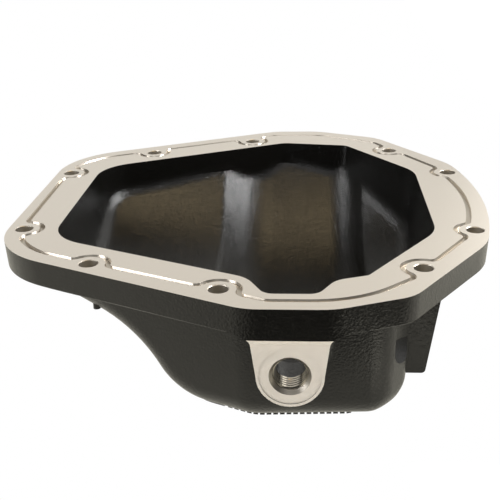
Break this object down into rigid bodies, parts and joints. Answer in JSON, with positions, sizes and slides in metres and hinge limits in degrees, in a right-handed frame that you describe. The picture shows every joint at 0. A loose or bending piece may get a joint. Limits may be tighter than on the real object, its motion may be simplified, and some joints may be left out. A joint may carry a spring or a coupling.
{
  "type": "differential cover",
  "caption": "Cast differential cover with a machined gasket face, a bolt flange, a deep open bowl and a tapped drain port.",
  "frame": {"origin": "centre of the four side bolt holes, on the gasket face", "axes": "+Z out of the gasket face, away from the bowl; X along the axle; -Y towards the drain port"},
  "size_m": [0.2931, 0.3371, 0.091],
  "materials": {
    "coated_casting": "satin black coat on cast aluminium, with bare milled faces"
  },
  "bodies": {
    "root": {"cover": "coated_casting"}
  },
  "joints": []
}
